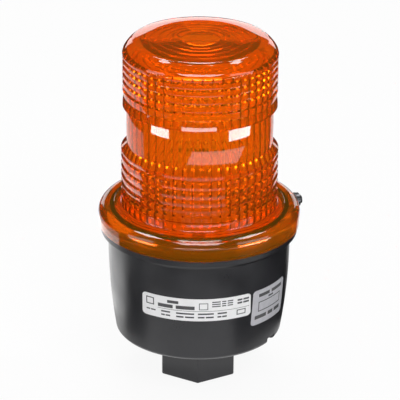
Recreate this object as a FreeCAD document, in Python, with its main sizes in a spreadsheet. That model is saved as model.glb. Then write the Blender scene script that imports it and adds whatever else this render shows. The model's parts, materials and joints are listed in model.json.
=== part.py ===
import FreeCAD, Part
import math
import os
import Sketcher

# A strobe warning light: an amber lens dome screwed onto a black housing with a pipe-mount hexagon.
# Millimetres. The origin is the centre of the pipe thread's mouth, +Z runs up the light's axis, and
# the front, with the wide label, faces -Y. Angles are degrees from +X towards +Y.

SIZES = {
    # hexagon for the pipe and its thread
    "hex_flats": 30.6,
    "hex_length": 20.0,
    "hex_round": 0.8,
    "pipe_bore": 21.2,
    "pipe_depth": 18.0,
    "wire_bore": 14.0,
    # housing: a cup whose wall leans in along a large arc towards the rim
    "wall_sweep": 240.0,
    "wall_upright": 3.3,
    "housing_height": 47.9,
    "housing_wall": 2.8,
    "rim_round": 2.2,
    "floor_recess": 3.5,
    "floor_thick": 3.0,
    "lip_setback": 1.05,
    "lip_thick": 2.2,
    "lip_cove": 2.4,
    "neck_wall": 2.2,
    "neck_height": 4.9,
    "notch_width": 6.4,
    "notch_height": 3.0,
    "notch_angle": -29.0,
    "boss_inset": 7.9,
    "boss_diameter": 7.5,
    "boss_height": 13.5,
    # stickers on the wall, each on a film of glue
    "label_bond": 0.04,
    "label_thick": 0.15,
    "label_corner": 1.6,
    "label_gap": 0.9,
    "front_label_angle": -91.4,
    "front_label_rise": 19.6,
    "front_label_height": 10.3,
    "front_label_width": 48.4,
    "side_label_rise": 13.5,
    "side_label_height": 16.3,
    "side_label_width": 21.4,
    # seal between the neck and the dome
    "gasket_inset": 0.15,
    "gasket_width": 1.7,
    "gasket_thick": 1.6,
    "gasket_play": 0.3,
    "groove_depth": 1.0,
    "flange_web": 3.1,
    # dome
    "seam_gap": 0.3,
    "flange_radius": 42.25,
    "flange_round": 3.9,
    "flange_step": 0.2,
    "flange_shelf": 2.6,
    "skirt_wall": 3.25,
    "thread_room": 1.4,
    "lens_setback": 2.9,
    "upper_setback": 0.65,
    "clear_relief": 2.45,
    "clear_bulge": 0.25,
    "lens_plain": 3.7,
    "lower_band": 23.2,
    "clear_band": 16.8,
    "upper_band": 22.9,
    "lower_ribs": 6,
    "upper_ribs": 7,
    "rib_taper": 0.65,
    "rib_depth": 0.6,
    "shoulder_rise": 4.9,
    "shoulder_round": 13.0,
    "shoulder_reach": 3.95,
    "top_crown": 1.3,
    "crown_flat": 19.0,
    "top_thick": 2.6,
    "lens_wall": 2.0,
    "bore_bevel": 4.4,
    "flute_count": 45,
    "flute_depth": 0.7,
    "flute_land": 0.35,
    "flute_rise": 1.2,
    "ring_count": 5,
    "ring_start": 8.0,
    "ring_depth": 0.4,
    # lock screw through the dome's skirt
    "lock_angle": 20.0,
    "lock_rise": 3.5,
    "lock_shank": 3.0,
    "lock_fit": 0.05,
    "lock_tip_gap": 0.15,
    "lock_head": 6.0,
    "lock_head_thick": 2.5,
    "lock_head_round": 1.2,
    "lock_slot": 0.9,
    "washer_outer": 6.2,
    "washer_thick": 1.2,
    # circuit board and the deck above it
    "board_gap": 3.0,
    "board_thick": 1.6,
    "board_wire_hole": 5.0,
    "spacer_flats": 5.5,
    "stud_diameter": 3.0,
    "stud_length": 7.0,
    "stud_fit": 0.1,
    "deck_gap": 0.6,
    "deck_drop": 4.2,
    "deck_thick": 2.0,
    "deck_rim": 1.6,
    "deck_rim_height": 1.2,
    "deck_bore": 16.4,
    "deck_window": 13.0,
    "window_depth": 10.0,
    "screw_head": 5.6,
    "screw_head_thick": 1.9,
    "screw_length": 8.0,
    # flash tube and its holder
    "holder_radius": 7.5,
    "holder_flange": 11.0,
    "holder_flange_thick": 2.0,
    "holder_height": 30.0,
    "holder_collar": 2.0,
    "tube_radius": 2.2,
    "tube_gap": 4.2,
    "tube_leg": 20.0,
    "tube_seat": 4.0,
    "tube_fit": 0.1,
    "lead_radius": 0.6,
    "band_thick": 0.4,
    "band_width": 2.0,
    "band_height": 9.0,
    "trigger_radius": 0.4,
    # pieces on the board
    "capacitor_x": -16.0,
    "capacitor_y": -10.0,
    "capacitor_radius": 9.0,
    "capacitor_height": 21.0,
    "capacitor_crimp": 0.7,
    "crimp_rise": 2.1,
    "core_x": 15.0,
    "core_y": -10.0,
    "core_length": 18.0,
    "core_depth": 7.0,
    "core_height": 15.0,
    "core_leg": 4.0,
    "core_window": 4.5,
    "core_yoke": 2.5,
    "winding_depth": 14.0,
    "winding_play": 0.2,
    "coil_x": -12.0,
    "coil_y": 8.0,
    "coil_radius": 4.5,
    "coil_height": 13.0,
    "coil_flange": 1.2,
    "coil_waist": 0.9,
    "sink_x": 10.8,
    "sink_y": 12.4,
    "sink_length": 10.6,
    "sink_plate": 1.8,
    "sink_height": 18.0,
    "sink_fins": 4,
    "fin_depth": 4.5,
    "fin_thick": 1.2,
    "transistor_length": 10.0,
    "transistor_thick": 4.4,
    "transistor_height": 15.0,
    "diode_x": 0.0,
    "diode_y": -16.0,
    "diode_pitch": 6.0,
    "diode_radius": 1.9,
    "diode_length": 8.0,
    "chip_y": 12.5,
    "chip_length": 9.4,
    "chip_width": 6.4,
    "chip_height": 3.3,
    "terminal_y": 22.4,
    "terminal_length": 10.6,
    "terminal_depth": 8.4,
    "terminal_height": 11.0,
    "terminal_pitch": 5.0,
    "terminal_entry": 3.2,
    "terminal_screw": 3.4,
    "terminal_recess": 2.2,
    "terminal_screw_thick": 1.4,
    "fuse_x": -8.0,
    "fuse_y": -20.5,
    "fuse_radius": 3.9,
    "fuse_height": 7.6,
    "timing_x": 7.6,
    "timing_y": -20.2,
    "timing_pitch": 6.2,
    "timing_radius": 2.5,
    "timing_height": 11.0,
}

BOSS_ANGLES = (30, 150, 270)

doc = FreeCAD.newDocument("warning_light")
sheet = doc.addObject("Spreadsheet::Sheet", "Sizes")
for row, (alias, number) in enumerate(SIZES.items(), start=1):
    sheet.set(f"A{row}", alias)
    sheet.set(f"B{row}", str(number))
    sheet.setAlias(f"B{row}", alias)
doc.recompute()


class Size:
    """A number as it is now, and the sheet expression that keeps a feature tied to it."""

    def __init__(self, value, text):
        self.value = value
        self.text = text

    def __add__(self, other):
        other = as_size(other)
        return Size(self.value + other.value, f"({self.text} + {other.text})")

    def __sub__(self, other):
        other = as_size(other)
        return Size(self.value - other.value, f"({self.text} - {other.text})")

    def __mul__(self, other):
        other = as_size(other)
        return Size(self.value * other.value, f"({self.text} * {other.text})")

    def __truediv__(self, other):
        other = as_size(other)
        return Size(self.value / other.value, f"({self.text} / {other.text})")

    def __neg__(self):
        return Size(-self.value, f"(0 - {self.text})")


def as_size(item):
    return item if isinstance(item, Size) else Size(float(item), f"{float(item):.10f}")


def size(alias):
    return Size(float(sheet.get(alias)), f"Sizes.{alias}")


def count(alias):
    return int(sheet.get(alias))


def root(item):
    return Size(math.sqrt(item.value), f"sqrt({item.text})")


def polar(radius, degrees):
    """The x and y of a point at a radius and an angle from +X."""
    angle = as_size(degrees)
    turn = math.radians(angle.value)
    x = Size(radius.value * math.cos(turn), f"({radius.text} * cos({angle.text}))")
    y = Size(radius.value * math.sin(turn), f"({radius.text} * sin({angle.text}))")
    return x, y


ZERO = as_size(0)


# Levels up the axis
rim_low = size("hex_length")
floor_low = rim_low + size("floor_recess")
floor_top = floor_low + size("floor_thick")
lip_top = rim_low + size("housing_height")
lip_low = lip_top - size("lip_thick")
crown_z = lip_low - size("lip_cove") - size("wall_upright")
neck_top = lip_top + size("neck_height")
board_low = floor_top + size("boss_height")
board_top = board_low + size("board_thick")
deck_low = neck_top - size("deck_drop")
deck_top = deck_low + size("deck_thick")
holder_top = deck_top + size("holder_height")
groove_top = neck_top + size("gasket_thick")
flange_low = groove_top - size("groove_depth")
flange_top = groove_top + size("flange_web")
skirt_low = lip_top + size("seam_gap")
lens_low = flange_top + size("flange_step")
ribs_low = flange_top + size("lens_plain")
clear_low = ribs_low + size("lower_band")
clear_top = clear_low + size("clear_band")
ribs_top = clear_top + size("upper_band")
top_rim = ribs_top + size("shoulder_rise")
crown_top = top_rim + size("top_crown")
ceiling = crown_top - size("top_thick")
lock_z = skirt_low + size("lock_rise")

# Radii, from the flange inwards
flange_radius = size("flange_radius")
lip_radius = flange_radius - size("lip_setback")
skirt_bore = flange_radius - size("skirt_wall")
neck_radius = skirt_bore - size("thread_room")
cavity_radius = neck_radius - size("neck_wall")
wall_radius = cavity_radius + size("housing_wall")
arc_centre = wall_radius - size("wall_sweep")
boss_circle = cavity_radius - size("boss_inset")
gasket_outer = neck_radius - size("gasket_inset")
gasket_inner = gasket_outer - size("gasket_width")
step_radius = flange_radius - size("flange_round") - size("flange_shelf")
lens_radius = step_radius - size("flange_step") - size("lens_setback")
upper_radius = lens_radius - size("upper_setback")
clear_radius = lens_radius - size("clear_relief")
top_radius = upper_radius - size("shoulder_reach")
bore_radius = clear_radius - size("lens_wall")


# Sketches, features and primitives
nodes = []


def new_body(label):
    body = doc.addObject("PartDesign::Body", label)
    body.Label = label
    nodes.append(body)
    return body


def sketch_on(body, name, role, lift=None):
    plane = next(item for item in body.Origin.OriginFeatures if item.Role == role)
    sketch = body.newObject("Sketcher::SketchObject", name)
    sketch.AttachmentSupport = [(plane, "")]
    sketch.MapMode = "FlatFace"
    if lift is not None:
        sketch.setExpression("AttachmentOffset.Base.z", lift.text)
    return sketch


def hold(sketch, kind, geometry, point, item):
    sketch.addConstraint(Sketcher.Constraint(kind, -1, 1, geometry, point, item.value))
    sketch.setExpression(f"Constraints[{sketch.ConstraintCount - 1}]", item.text)


def arc_between(first, last, radius):
    """An arc from first to last, turning left with a positive radius and right with a negative one."""
    chord = last - first
    middle = (first + last) * 0.5
    rise = math.sqrt(max(radius * radius - chord.Length * chord.Length / 4.0, 0.0))
    left = FreeCAD.Vector(-chord.y, chord.x, 0).normalize()
    centre = middle + left * math.copysign(rise, radius)
    circle = Part.Circle(centre, FreeCAD.Vector(0, 0, 1), abs(radius))
    ends = (first, last) if radius > 0 else (last, first)
    angles = [math.atan2(end.y - centre.y, end.x - centre.x) for end in ends]
    return Part.ArcOfCircle(circle, angles[0], angles[1])


def outline(sketch, points):
    """A closed outline. A point is (x, y), or (x, y, radius) where an arc leads on to the next point."""
    places = [FreeCAD.Vector(point[0].value, point[1].value, 0) for point in points]
    ends = []
    for index, point in enumerate(points):
        first = places[index]
        last = places[(index + 1) % len(points)]
        bend = point[2].value if len(point) > 2 else 0.0
        shape = arc_between(first, last, bend) if bend else Part.LineSegment(first, last)
        geometry = sketch.addGeometry(shape, False)
        ends.append((geometry, 1, 2) if bend >= 0 else (geometry, 2, 1))
        if bend:
            radius = point[2] if bend > 0 else -point[2]
            sketch.addConstraint(Sketcher.Constraint("Radius", geometry, abs(bend)))
            sketch.setExpression(f"Constraints[{sketch.ConstraintCount - 1}]", radius.text)
    for index, point in enumerate(points):
        geometry, start, end = ends[index]
        following = ends[(index + 1) % len(points)]
        sketch.addConstraint(Sketcher.Constraint("Coincident", geometry, end, following[0], following[1]))
        hold(sketch, "DistanceX", geometry, start, point[0])
        hold(sketch, "DistanceY", geometry, start, point[1])


def ring(sketch, x, y, radius):
    """A circle of a radius about x and y."""
    centre = FreeCAD.Vector(x.value, y.value, 0)
    geometry = sketch.addGeometry(Part.Circle(centre, FreeCAD.Vector(0, 0, 1), radius.value), False)
    sketch.addConstraint(Sketcher.Constraint("Radius", geometry, radius.value))
    sketch.setExpression(f"Constraints[{sketch.ConstraintCount - 1}]", radius.text)
    hold(sketch, "DistanceX", geometry, 3, x)
    hold(sketch, "DistanceY", geometry, 3, y)


def revolve(body, name, sketch, axis="V_Axis", angle=None):
    feature = body.newObject("PartDesign::Revolution", name)
    feature.Profile = sketch
    feature.ReferenceAxis = (sketch, [axis])
    feature.Angle = 360
    if angle is not None:
        feature.setExpression("Angle", angle.text)
    return feature


def pad(body, name, sketch, length):
    feature = body.newObject("PartDesign::Pad", name)
    feature.Profile = sketch
    feature.setExpression("Length", length.text)
    return feature


def pocket(body, name, sketch, depth, upward=True):
    """A cut from the sketch along its normal, or against it."""
    before = solid_volume(body)
    feature = body.newObject("PartDesign::Pocket", name)
    feature.Profile = sketch
    feature.Reversed = upward
    feature.setExpression("Length", depth.text)
    doc.recompute()
    if not solid_volume(body) < before:
        raise RuntimeError(f"{name} cuts nothing")
    return feature


def solid_volume(body):
    doc.recompute()
    return body.Shape.Volume


def around(body, name, features, sketch, copies):
    pattern = body.newObject("PartDesign::PolarPattern", name)
    pattern.Originals = features
    pattern.Axis = (sketch, ["N_Axis"])
    pattern.Angle = 360
    pattern.Occurrences = copies
    body.Tip = pattern
    return pattern


def put(item, x=ZERO, y=ZERO, z=ZERO):
    item.setExpression("Placement.Base.x", x.text)
    item.setExpression("Placement.Base.y", y.text)
    item.setExpression("Placement.Base.z", z.text)


def turn_body(body, degrees):
    """Turns a body about the light's axis."""
    body.Placement = FreeCAD.Placement(FreeCAD.Vector(), FreeCAD.Rotation(FreeCAD.Vector(0, 0, 1), 1))
    body.setExpression("Placement.Rotation.Angle", degrees.text)


def cylinder(name, radius, height, x=ZERO, y=ZERO, z=ZERO):
    item = doc.addObject("Part::Cylinder", name)
    item.setExpression("Radius", radius.text)
    item.setExpression("Height", height.text)
    put(item, x, y, z)
    return item


def block(name, length, width, height, x=ZERO, y=ZERO, z=ZERO):
    """A box whose base is centred on x and y at the level z."""
    item = doc.addObject("Part::Box", name)
    item.setExpression("Length", length.text)
    item.setExpression("Width", width.text)
    item.setExpression("Height", height.text)
    put(item, x - length / 2, y - width / 2, z)
    return item


def combine(kind, name, first, others):
    """A boolean of the first solid with each of the others: MultiFuse, or a chain of cuts."""
    if kind == "fuse":
        item = doc.addObject("Part::MultiFuse", name)
        item.Shapes = [first] + others
        return item
    item = first
    for index, other in enumerate(others):
        cut = doc.addObject("Part::Cut", f"{name}_cut{index}")
        cut.Base = item
        cut.Tool = other
        item = cut
    return item


def as_node(item, label):
    item.Label = label
    nodes.append(item)


def group(label, items):
    """Several separate solids of one kind in one node."""
    item = doc.addObject("Part::Compound", label)
    item.Links = items
    as_node(item, label)


# The hexagon's corners, one towards the front
def hexagon(sketch, flats, x=ZERO, y=ZERO):
    half = flats / 2
    corner = flats / root(as_size(3))
    slope = corner / 2
    outline(sketch, [
        (x, y - corner), (x + half, y - slope), (x + half, y + slope),
        (x, y + corner), (x - half, y + slope), (x - half, y - slope),
    ])


# The radius of the housing's outer wall, and of a skin laid on it, at a level below the crown
def wall_at(level, skin=ZERO):
    reach = size("wall_sweep") + skin
    fall = crown_z - level
    return arc_centre + root(reach * reach - fall * fall)


# Housing: cup, lip and neck in one revolve, then the hexagon, bosses, bores and the rim's notch
def make_housing():
    body = new_body("base_housing")
    cove = size("lip_cove")
    thick = size("housing_wall")
    curl = size("rim_round")
    rim_inner = wall_at(rim_low) - thick
    profile = sketch_on(body, "housing_profile", "XZ_Plane")
    outline(profile, [
        (ZERO, floor_low),
        (rim_inner, floor_low),
        (rim_inner, rim_low),
        (wall_at(rim_low + curl) - curl, rim_low, curl),
        (wall_at(rim_low + curl), rim_low + curl, size("wall_sweep")),
        (wall_radius, crown_z),
        (wall_radius, lip_low - cove, -cove),
        (wall_radius + cove, lip_low),
        (lip_radius, lip_low),
        (lip_radius, lip_top),
        (neck_radius, lip_top),
        (neck_radius, neck_top),
        (cavity_radius, neck_top),
        (cavity_radius, crown_z, thick - size("wall_sweep")),
        (wall_at(floor_top, -thick), floor_top),
        (ZERO, floor_top),
    ])
    revolve(body, "housing_cup", profile)

    flats = sketch_on(body, "hex_outline", "XY_Plane")
    hexagon(flats, size("hex_flats"))
    pad(body, "hex_boss", flats, floor_low + size("floor_thick") / 2)
    round_edges(body, "hex_rounding", size("hex_round"), is_hex_edge)

    pillar = sketch_on(body, "boss_outline", "XY_Plane", floor_low + size("floor_thick") / 2)
    for angle in BOSS_ANGLES:
        x, y = polar(boss_circle, angle)
        ring(pillar, x, y, size("boss_diameter") / 2)
    pad(body, "board_bosses", pillar, board_low - floor_low - size("floor_thick") / 2)

    thread = sketch_on(body, "pipe_outline", "XY_Plane")
    ring(thread, ZERO, ZERO, size("pipe_bore") / 2)
    pocket(body, "pipe_thread", thread, size("pipe_depth"))

    wires = sketch_on(body, "wire_outline", "XY_Plane")
    ring(wires, ZERO, ZERO, size("wire_bore") / 2)
    pocket(body, "wire_passage", wires, floor_top)

    studs = sketch_on(body, "stud_outline", "XY_Plane", board_low)
    for angle in BOSS_ANGLES:
        x, y = polar(boss_circle, angle)
        ring(studs, x, y, size("stud_diameter") / 2 + size("stud_fit"))
    pocket(body, "stud_holes", studs, size("stud_length"), upward=False)

    mouth = sketch_on(body, "notch_outline", "XY_Plane", rim_low)
    mouth.AttachmentOffset = FreeCAD.Placement(
        FreeCAD.Vector(), FreeCAD.Rotation(FreeCAD.Vector(0, 0, 1), 1))
    mouth.setExpression("AttachmentOffset.Rotation.Angle", "Sizes.notch_angle")
    half = size("notch_width") / 2
    inside = rim_inner - thick
    outline(mouth, [(inside, -half), (wall_radius, -half), (wall_radius, half), (inside, half)])
    pocket(body, "rim_notch", mouth, size("notch_height"))


def is_hex_edge(edge):
    """The hexagon's upright corners and the edges of its end face."""
    box = edge.BoundBox
    outer = size("hex_flats").value / 2 - 1e-3
    middle = edge.CenterOfMass
    away = math.hypot(middle.x, middle.y)
    straight = isinstance(edge.Curve, Part.Line)
    return straight and box.ZMin < 1e-4 and outer < away and box.ZMax <= floor_low.value + 1e-3


def round_edges(body, name, radius, chosen):
    doc.recompute()
    base = body.Tip
    names = [f"Edge{index}" for index, edge in enumerate(base.Shape.Edges, start=1) if chosen(edge)]
    if not names:
        raise RuntimeError(f"{name} finds no edge")
    fillet = body.newObject("PartDesign::Fillet", name)
    fillet.Base = (base, names)
    fillet.setExpression("Radius", radius.text)
    body.Tip = fillet
    doc.recompute()


# Heights at which the ribs of a band meet, as shares of the band from its clear side. The ribs get
# lower away from the clear band, by rib_taper from the first to the last.
def rib_share(index, ribs):
    lost = (as_size(1) - size("rib_taper")) * (index * (index - 1) / (2.0 * max(ribs - 1, 1)))
    whole = (as_size(1) + size("rib_taper")) * (ribs / 2.0)
    return (as_size(index) - lost) / whole


# Dome: flange, ribbed lens and crowned top in one revolve, then the flutes of the bore
def make_dome():
    body = new_body("dome")
    edge = size("flange_round")
    play = size("gasket_play")
    depth = size("rib_depth")
    bulge = size("clear_bulge")
    half_clear = size("clear_band") / 2
    bulge_radius = (half_clear * half_clear + bulge * bulge) / (bulge * 2)
    rise = size("top_crown")
    flat = size("crown_flat")
    fall = top_radius - flat
    crown_radius = (fall * fall + rise * rise) / (rise * 2)
    corner = size("bore_bevel")
    lower = count("lower_ribs")
    upper = count("upper_ribs")

    points = [
        (skirt_bore, skirt_low),
        (flange_radius, skirt_low),
        (flange_radius, flange_top - edge, edge),
        (flange_radius - edge, flange_top),
        (step_radius, flange_top),
        (step_radius - size("flange_step"), lens_low),
        (lens_radius, lens_low),
    ]
    for index in range(lower, 0, -1):
        valley = clear_low - size("lower_band") * rib_share(index, lower)
        above = clear_low - size("lower_band") * rib_share(index - 1, lower)
        if index < lower:
            points.append((lens_radius - depth, valley))
        else:
            points.append((lens_radius, valley - depth))
            points.append((lens_radius - depth, valley))
        points.append((lens_radius, (valley + above) / 2))
    points.append((clear_radius, clear_low, bulge_radius))
    points.append((clear_radius, clear_top))
    points.append((upper_radius, clear_top))
    for index in range(1, upper + 1):
        below = clear_top + size("upper_band") * rib_share(index - 1, upper)
        valley = clear_top + size("upper_band") * rib_share(index, upper)
        points.append((upper_radius, (below + valley) / 2))
        points.append((upper_radius - depth, valley))
    points.append((upper_radius - depth / 2, ribs_top + depth, size("shoulder_round")))
    points.append((top_radius, top_rim, crown_radius))
    points.append((flat, crown_top))
    points.append((ZERO, crown_top))
    points.append((ZERO, ceiling))
    ring_low = ceiling - size("ring_depth") * count("ring_count")
    step = (bore_radius - corner - size("ring_start")) / count("ring_count")
    for index in range(count("ring_count")):
        radius = size("ring_start") + step * index
        points.append((radius, ceiling - size("ring_depth") * index))
        points.append((radius, ceiling - size("ring_depth") * (index + 1)))
    points.append((bore_radius - corner, ring_low))
    points.append((bore_radius, ring_low - corner))
    points.append((bore_radius, flange_low))
    points.append((gasket_inner - play, flange_low))
    points.append((gasket_inner - play, groove_top))
    points.append((gasket_outer + play, groove_top))
    points.append((gasket_outer + play, flange_low))
    points.append((skirt_bore, flange_low))
    profile = sketch_on(body, "dome_profile", "XZ_Plane")
    outline(profile, points)
    revolve(body, "dome_shell", profile)

    half = bore_radius * math.pi / count("flute_count") - size("flute_land") / 2
    sag = size("flute_depth") + half * half / (bore_radius * 2)
    flute = (half * half + sag * sag) / (sag * 2)
    groove = sketch_on(body, "flute_outline", "XY_Plane", flange_low)
    ring(groove, bore_radius + size("flute_depth") - flute, ZERO, flute)
    reach = ring_low - corner + size("flute_rise") - flange_low
    cut = pocket(body, "flute", groove, reach)
    around(body, "flutes", [cut], groove, count("flute_count"))

    drill = sketch_on(body, "lock_outline", "YZ_Plane")
    drill.AttachmentOffset = FreeCAD.Placement(
        FreeCAD.Vector(), FreeCAD.Rotation(FreeCAD.Vector(0, 1, 0), 1))
    drill.setExpression("AttachmentOffset.Rotation.Angle", "Sizes.lock_angle")
    ring(drill, ZERO, lock_z, size("lock_shank") / 2 + size("lock_fit"))
    pocket(body, "lock_hole", drill, flange_radius)


def make_gasket():
    body = new_body("dome_gasket")
    profile = sketch_on(body, "gasket_profile", "XZ_Plane")
    outline(profile, [
        (gasket_inner, neck_top), (gasket_outer, neck_top),
        (gasket_outer, groove_top), (gasket_inner, groove_top),
    ])
    revolve(body, "gasket_ring", profile)


# The lock screw and its washer point outwards along local X, and turn with their body to lock_angle
def make_lock():
    seat = flange_radius + size("lock_fit")
    thick = size("washer_thick")
    washer = new_body("lock_washer")
    profile = sketch_on(washer, "washer_profile", "XZ_Plane")
    inner = size("lock_shank") / 2 + size("lock_fit")
    outer = size("washer_outer") / 2
    outline(profile, [(seat, inner), (seat + thick, inner), (seat + thick, outer), (seat, outer)])
    revolve(washer, "washer_ring", profile, "H_Axis")

    screw = new_body("lock_screw")
    shank = size("lock_shank") / 2
    head = size("lock_head") / 2
    face = seat + thick
    end = face + size("lock_head_thick")
    tip = skirt_bore - size("lock_tip_gap")
    bend = size("lock_head_round")
    profile = sketch_on(screw, "screw_profile", "XZ_Plane")
    outline(profile, [
        (tip, ZERO), (end, ZERO), (end, head - bend, -bend), (end - bend, head),
        (face, head), (face, shank), (tip, shank),
    ])
    revolve(screw, "screw_turned", profile, "H_Axis")
    slot = sketch_on(screw, "slot_outline", "XY_Plane")
    width = size("lock_slot") / 2
    low = end - size("lock_head_thick") / 2
    outline(slot, [(low, -width), (end + width, -width), (end + width, width), (low, width)])
    driver = pocket(screw, "driver_slot", slot, size("lock_head"))
    driver.Midplane = True
    for body in (washer, screw):
        turn_body(body, size("lock_angle"))
        body.setExpression("Placement.Base.z", lock_z.text)


# The angle that a length along the wall takes up
def turn_of(length):
    return length / wall_radius * (180.0 / math.pi)


# A sticker: a thin skin of the housing's wall, kept only inside a prism with rounded corners
def make_label(label, rise, height, width, angle):
    bond = size("label_bond")
    skin = bond + size("label_thick")
    sweep = size("wall_sweep")
    corner = size("label_corner")
    low = rim_low + rise
    high = low + height
    sheet_body = doc.addObject("PartDesign::Body", f"{label}_skin")
    profile = sketch_on(sheet_body, f"{label}_profile", "XZ_Plane")
    outline(profile, [
        (wall_at(low, bond), low), (wall_at(low, skin), low, sweep + skin),
        (wall_at(high, skin), high), (wall_at(high, bond), high, -(sweep + bond)),
    ])
    revolve(sheet_body, f"{label}_turn", profile)
    prism = doc.addObject("PartDesign::Body", f"{label}_prism")
    half = polar(wall_at(low + height / 2), turn_of(width) / 2)[1]
    window = sketch_on(prism, f"{label}_outline", "YZ_Plane")
    outline(window, [
        (corner - half, low), (half - corner, low, corner), (half, low + corner),
        (half, high - corner, corner), (half - corner, high), (corner - half, high, corner),
        (-half, high - corner), (-half, low + corner, corner),
    ])
    pad(prism, f"{label}_pad", window, lip_radius)
    turn_body(prism, angle)
    item = doc.addObject("Part::Common", f"{label}_sheet")
    item.Base = sheet_body
    item.Tool = prism
    as_node(item, label)


def make_labels():
    front = size("front_label_angle")
    apart = (size("front_label_width") + size("side_label_width")) / 2 + size("label_gap")
    make_label("front_label", size("front_label_rise"), size("front_label_height"),
               size("front_label_width"), front)
    make_label("side_label", size("side_label_rise"), size("side_label_height"),
               size("side_label_width"), front + turn_of(apart))


def make_board():
    body = new_body("circuit_board")
    disc = sketch_on(body, "board_outline", "XY_Plane", board_low)
    ring(disc, ZERO, ZERO, wall_at(board_low, -size("housing_wall")) - size("board_gap"))
    pad(body, "board_disc", disc, size("board_thick"))
    holes = sketch_on(body, "board_hole_outline", "XY_Plane", board_low)
    ring(holes, ZERO, ZERO, size("board_wire_hole") / 2)
    for angle in BOSS_ANGLES:
        x, y = polar(boss_circle, angle)
        ring(holes, x, y, size("stud_diameter") / 2 + size("stud_fit"))
    pocket(body, "board_holes", holes, size("board_thick"))


# Hexagon spacers stand on the board, with a stud down through it into each boss
def make_spacers():
    items = []
    stud = size("stud_diameter") / 2
    for index, angle in enumerate(BOSS_ANGLES):
        x, y = polar(boss_circle, angle)
        post = doc.addObject("Part::Prism", f"spacer_hex{index}")
        post.Polygon = 6
        post.setExpression("Circumradius", (size("spacer_flats") / root(as_size(3))).text)
        post.setExpression("Height", (deck_low - board_top).text)
        put(post, x, y, board_top)
        drop = size("stud_length") - size("stud_fit")
        low = board_low - drop
        pin = cylinder(f"spacer_stud{index}", stud, drop + size("board_thick"), x, y, low)
        body = combine("fuse", f"spacer_body{index}", post, [pin])
        depth = size("screw_length") - size("deck_thick") + size("stud_fit")
        bore = cylinder(f"spacer_bore{index}", stud + size("stud_fit"), depth, x, y, deck_low - depth)
        items.append(combine("cut", f"spacer{index}", body, [bore]))
    group("board_spacers", items)


def make_deck():
    body = new_body("reflector_deck")
    bore = size("deck_bore") / 2
    outer = cavity_radius - size("deck_gap")
    inner = outer - size("deck_rim")
    lip = deck_top + size("deck_rim_height")
    profile = sketch_on(body, "deck_profile", "XZ_Plane")
    outline(profile, [
        (bore, deck_low), (outer, deck_low), (outer, lip),
        (inner, lip), (inner, deck_top), (bore, deck_top),
    ])
    revolve(body, "deck_disc", profile)
    holes = sketch_on(body, "deck_hole_outline", "XY_Plane", deck_low)
    for angle in BOSS_ANGLES:
        x, y = polar(boss_circle, angle)
        ring(holes, x, y, size("stud_diameter") / 2 + size("stud_fit"))
    pocket(body, "deck_holes", holes, size("deck_thick"))
    window = sketch_on(body, "window_outline", "XY_Plane", deck_low)
    half = size("deck_window") / 2
    near = size("terminal_y") - size("window_depth") / 2
    far = size("terminal_y") + size("window_depth") / 2
    outline(window, [(-half, near), (half, near), (half, far), (-half, far)])
    pocket(body, "terminal_window", window, size("deck_thick"))


def make_deck_screws():
    items = []
    for index, angle in enumerate(BOSS_ANGLES):
        x, y = polar(boss_circle, angle)
        head = cylinder(f"deck_head{index}", size("screw_head") / 2, size("screw_head_thick"), x, y, deck_top)
        low = deck_top - size("screw_length")
        shank = cylinder(f"deck_shank{index}", size("stud_diameter") / 2, size("screw_length"), x, y, low)
        items.append(combine("fuse", f"deck_screw{index}", head, [shank]))
    group("deck_screws", items)


# Holder: a stem on the deck with sockets for the tube's legs and bores for its leads
def make_holder():
    body = new_body("tube_holder")
    stem = size("holder_radius")
    flange = size("holder_flange")
    shelf = deck_top + size("holder_flange_thick")
    foot = deck_low - size("holder_collar")
    profile = sketch_on(body, "holder_profile", "XZ_Plane")
    outline(profile, [
        (ZERO, foot), (stem, foot), (stem, deck_top), (flange, deck_top), (flange, shelf),
        (stem, shelf), (stem, holder_top), (ZERO, holder_top),
    ])
    revolve(body, "holder_stem", profile)
    gap = size("tube_gap")
    sockets = sketch_on(body, "socket_outline", "XY_Plane", holder_top)
    bores = sketch_on(body, "lead_outline", "XY_Plane", holder_top)
    for x in (-gap, gap):
        ring(sockets, x, ZERO, size("tube_radius") + size("tube_fit"))
        ring(bores, x, ZERO, size("lead_radius") + size("tube_fit"))
    ring(bores, ZERO, trigger_y(), size("trigger_radius") + size("tube_fit"))
    pocket(body, "tube_sockets", sockets, size("tube_seat"), upward=False)
    pocket(body, "lead_bores", bores, holder_top - foot, upward=False)


def trigger_y():
    """The trigger wire runs down the outside of the band."""
    return size("tube_radius") + size("tube_fit") + size("band_thick")


# The U of glass is swept along two legs and a half circle
def make_tube():
    body = new_body("flash_tube")
    gap = size("tube_gap")
    low = holder_top - size("tube_seat")
    bend = holder_top + size("tube_leg")
    path = sketch_on(body, "tube_path", "XZ_Plane")
    stops = [(-gap, low), (-gap, bend), (gap, bend), (gap, low)]
    places = [FreeCAD.Vector(x.value, z.value, 0) for x, z in stops]
    up = path.addGeometry(Part.LineSegment(places[0], places[1]), False)
    over = path.addGeometry(arc_between(places[1], places[2], -gap.value * 1.0001), False)
    down = path.addGeometry(Part.LineSegment(places[2], places[3]), False)
    path.addConstraint(Sketcher.Constraint("Tangent", up, 2, over, 2))
    path.addConstraint(Sketcher.Constraint("Tangent", over, 1, down, 1))
    hold(path, "DistanceX", up, 1, -gap)
    hold(path, "DistanceY", up, 1, low)
    hold(path, "DistanceX", up, 2, -gap)
    hold(path, "DistanceY", up, 2, bend)
    hold(path, "DistanceX", down, 2, gap)
    hold(path, "DistanceY", down, 2, low)
    profile = sketch_on(body, "tube_section", "XY_Plane", low)
    ring(profile, -gap, ZERO, size("tube_radius"))
    pipe = body.newObject("PartDesign::AdditivePipe", "tube_glass")
    pipe.Profile = profile
    pipe.Spine = path
    doc.recompute()


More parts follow.
